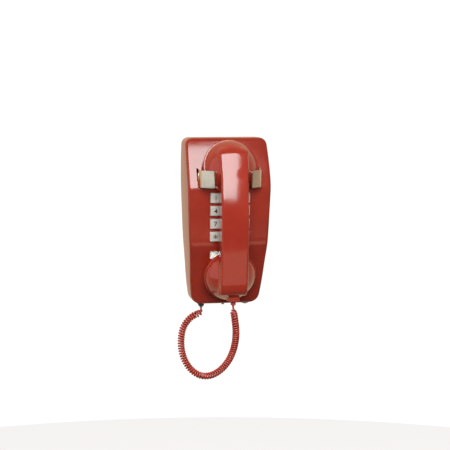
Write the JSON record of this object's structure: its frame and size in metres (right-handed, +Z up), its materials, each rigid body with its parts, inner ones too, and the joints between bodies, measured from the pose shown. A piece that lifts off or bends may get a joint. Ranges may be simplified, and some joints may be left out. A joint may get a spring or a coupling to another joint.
{
  "type": "wall telephone",
  "caption": "Compact push-button wall telephone with a hanging handset, chrome hook ears, a column keypad under the handset, a number card and a curly cord",
  "frame": {"origin": "centre of the base plate's rear face, which lies on the wall", "axes": "+X to the right seen from the front, +Y into the wall, +Z up"},
  "size_m": [0.1191, 0.099, 0.3236],
  "materials": {
    "shell": "glossy moulded plastic",
    "hook_metal": "bright nickel and chrome plating",
    "steel": "zinc plated",
    "grey_plastic": "satin",
    "key_plastic": "satin silver grey",
    "black_plastic": "satin black",
    "circuit_board": "lacquered laminate",
    "rubber": "matt",
    "card": "matt card",
    "clear_plastic": "clear",
    "brass": "satin",
    "winding": "lacquered copper wire",
    "cord_jacket": "satin vinyl"
  },
  "bodies": {
    "phone_body": {"housing": "shell", "base_plate": "steel", "wall_plug_block": "grey_plastic", "keypad_frame": "black_plastic", "keypad_mat": "rubber", "keypad_board": "circuit_board", "card_window": "clear_plastic", "number_card": "card", "hook_pivot_pin": "steel", "hook_bracket": "steel", "hookswitch_block": "grey_plastic", "hook_spring": "steel", "ringer_frame": "steel", "gong_high": "brass", "gong_low": "brass", "gong_screw_left": "steel", "gong_screw_right": "steel", "ringer_coil": "winding", "volume_wheel_post": "steel", "network_board": "circuit_board", "network_transformer": "winding", "network_capacitor": "grey_plastic", "line_terminal_block": "black_plastic", "hookswitch_leads_clip": "black_plastic", "base_cord_jack": "black_plastic", "closing_screw": "steel", "base_cord_plug": "black_plastic", "handset_cord": "cord_jacket"},
    "handset": {"handset_body": "shell", "receiver_cap": "shell", "transmitter_cap": "shell", "receiver_capsule": "steel", "transmitter_capsule": "steel", "transmitter_cup": "black_plastic", "handset_cord_jack": "black_plastic", "handset_cord_plug": "cord_jacket"},
    "switch_hook": {"hook_cradle": "hook_metal"},
    "clapper_arm": {"clapper": "brass"},
    "volume_wheel": {"ringer_volume_wheel": "grey_plastic"},
    "button_1": {"key_1": "key_plastic"},
    "button_2": {"key_2": "key_plastic"},
    "button_3": {"key_3": "key_plastic"},
    "button_4": {"key_4": "key_plastic"},
    "button_5": {"key_5": "key_plastic"},
    "button_6": {"key_6": "key_plastic"},
    "button_7": {"key_7": "key_plastic"},
    "button_8": {"key_8": "key_plastic"},
    "button_9": {"key_9": "key_plastic"},
    "button_star": {"key_star": "key_plastic"},
    "button_0": {"key_0": "key_plastic"},
    "button_hash": {"key_hash": "key_plastic"}
  },
  "joints": [
    {"name": "handset_lift", "type": "slide", "parent": "phone_body", "child": "handset", "axis": [0, -0.2419, 0.9703], "range_m": [0, 0.09], "deforming": ["handset_cord"]},
    {"name": "hook_rise", "type": "hinge", "parent": "phone_body", "child": "switch_hook", "pos_m": [0, -0.02, 0.062], "axis": [-1, 0, 0], "range_deg": [0, 6], "deforming": ["hook_spring"]},
    {"name": "clapper_swing", "type": "hinge", "parent": "phone_body", "child": "clapper_arm", "pos_m": [0, -0.0115, -0.0566], "axis": [0, 1, 0], "range_deg": [-3, 3]},
    {"name": "volume_turn", "type": "hinge", "parent": "phone_body", "child": "volume_wheel", "pos_m": [0.029, -0.016, -0.1045], "axis": [0, 1, 0], "range_deg": [-60, 60]},
    {"name": "press_1", "type": "slide", "parent": "phone_body", "child": "button_1", "axis": [0, 0.9964, 0.0845], "range_m": [0, 0.003], "stiffness_N_per_m": 150, "springref_m": -0.001},
    {"name": "press_2", "type": "slide", "parent": "phone_body", "child": "button_2", "axis": [0, 0.9964, 0.0845], "range_m": [0, 0.003], "stiffness_N_per_m": 150, "springref_m": -0.001},
    {"name": "press_3", "type": "slide", "parent": "phone_body", "child": "button_3", "axis": [0, 0.9964, 0.0845], "range_m": [0, 0.003], "stiffness_N_per_m": 150, "springref_m": -0.001},
    {"name": "press_4", "type": "slide", "parent": "phone_body", "child": "button_4", "axis": [0, 0.9964, 0.0845], "range_m": [0, 0.003], "stiffness_N_per_m": 150, "springref_m": -0.001},
    {"name": "press_5", "type": "slide", "parent": "phone_body", "child": "button_5", "axis": [0, 0.9964, 0.0845], "range_m": [0, 0.003], "stiffness_N_per_m": 150, "springref_m": -0.001},
    {"name": "press_6", "type": "slide", "parent": "phone_body", "child": "button_6", "axis": [0, 0.9964, 0.0845], "range_m": [0, 0.003], "stiffness_N_per_m": 150, "springref_m": -0.001},
    {"name": "press_7", "type": "slide", "parent": "phone_body", "child": "button_7", "axis": [0, 0.9964, 0.0845], "range_m": [0, 0.003], "stiffness_N_per_m": 150, "springref_m": -0.001},
    {"name": "press_8", "type": "slide", "parent": "phone_body", "child": "button_8", "axis": [0, 0.9964, 0.0845], "range_m": [0, 0.003], "stiffness_N_per_m": 150, "springref_m": -0.001},
    {"name": "press_9", "type": "slide", "parent": "phone_body", "child": "button_9", "axis": [0, 0.9964, 0.0845], "range_m": [0, 0.003], "stiffness_N_per_m": 150, "springref_m": -0.001},
    {"name": "press_star", "type": "slide", "parent": "phone_body", "child": "button_star", "axis": [0, 0.9964, 0.0845], "range_m": [0, 0.003], "stiffness_N_per_m": 150, "springref_m": -0.001},
    {"name": "press_0", "type": "slide", "parent": "phone_body", "child": "button_0", "axis": [0, 0.9964, 0.0845], "range_m": [0, 0.003], "stiffness_N_per_m": 150, "springref_m": -0.001},
    {"name": "press_hash", "type": "slide", "parent": "phone_body", "child": "button_hash", "axis": [0, 0.9964, 0.0845], "range_m": [0, 0.003], "stiffness_N_per_m": 150, "springref_m": -0.001}
  ],
  "couplings": [
    {"joint": "hook_rise", "follows": "handset_lift", "rad_per_m": 1.16}
  ]
}
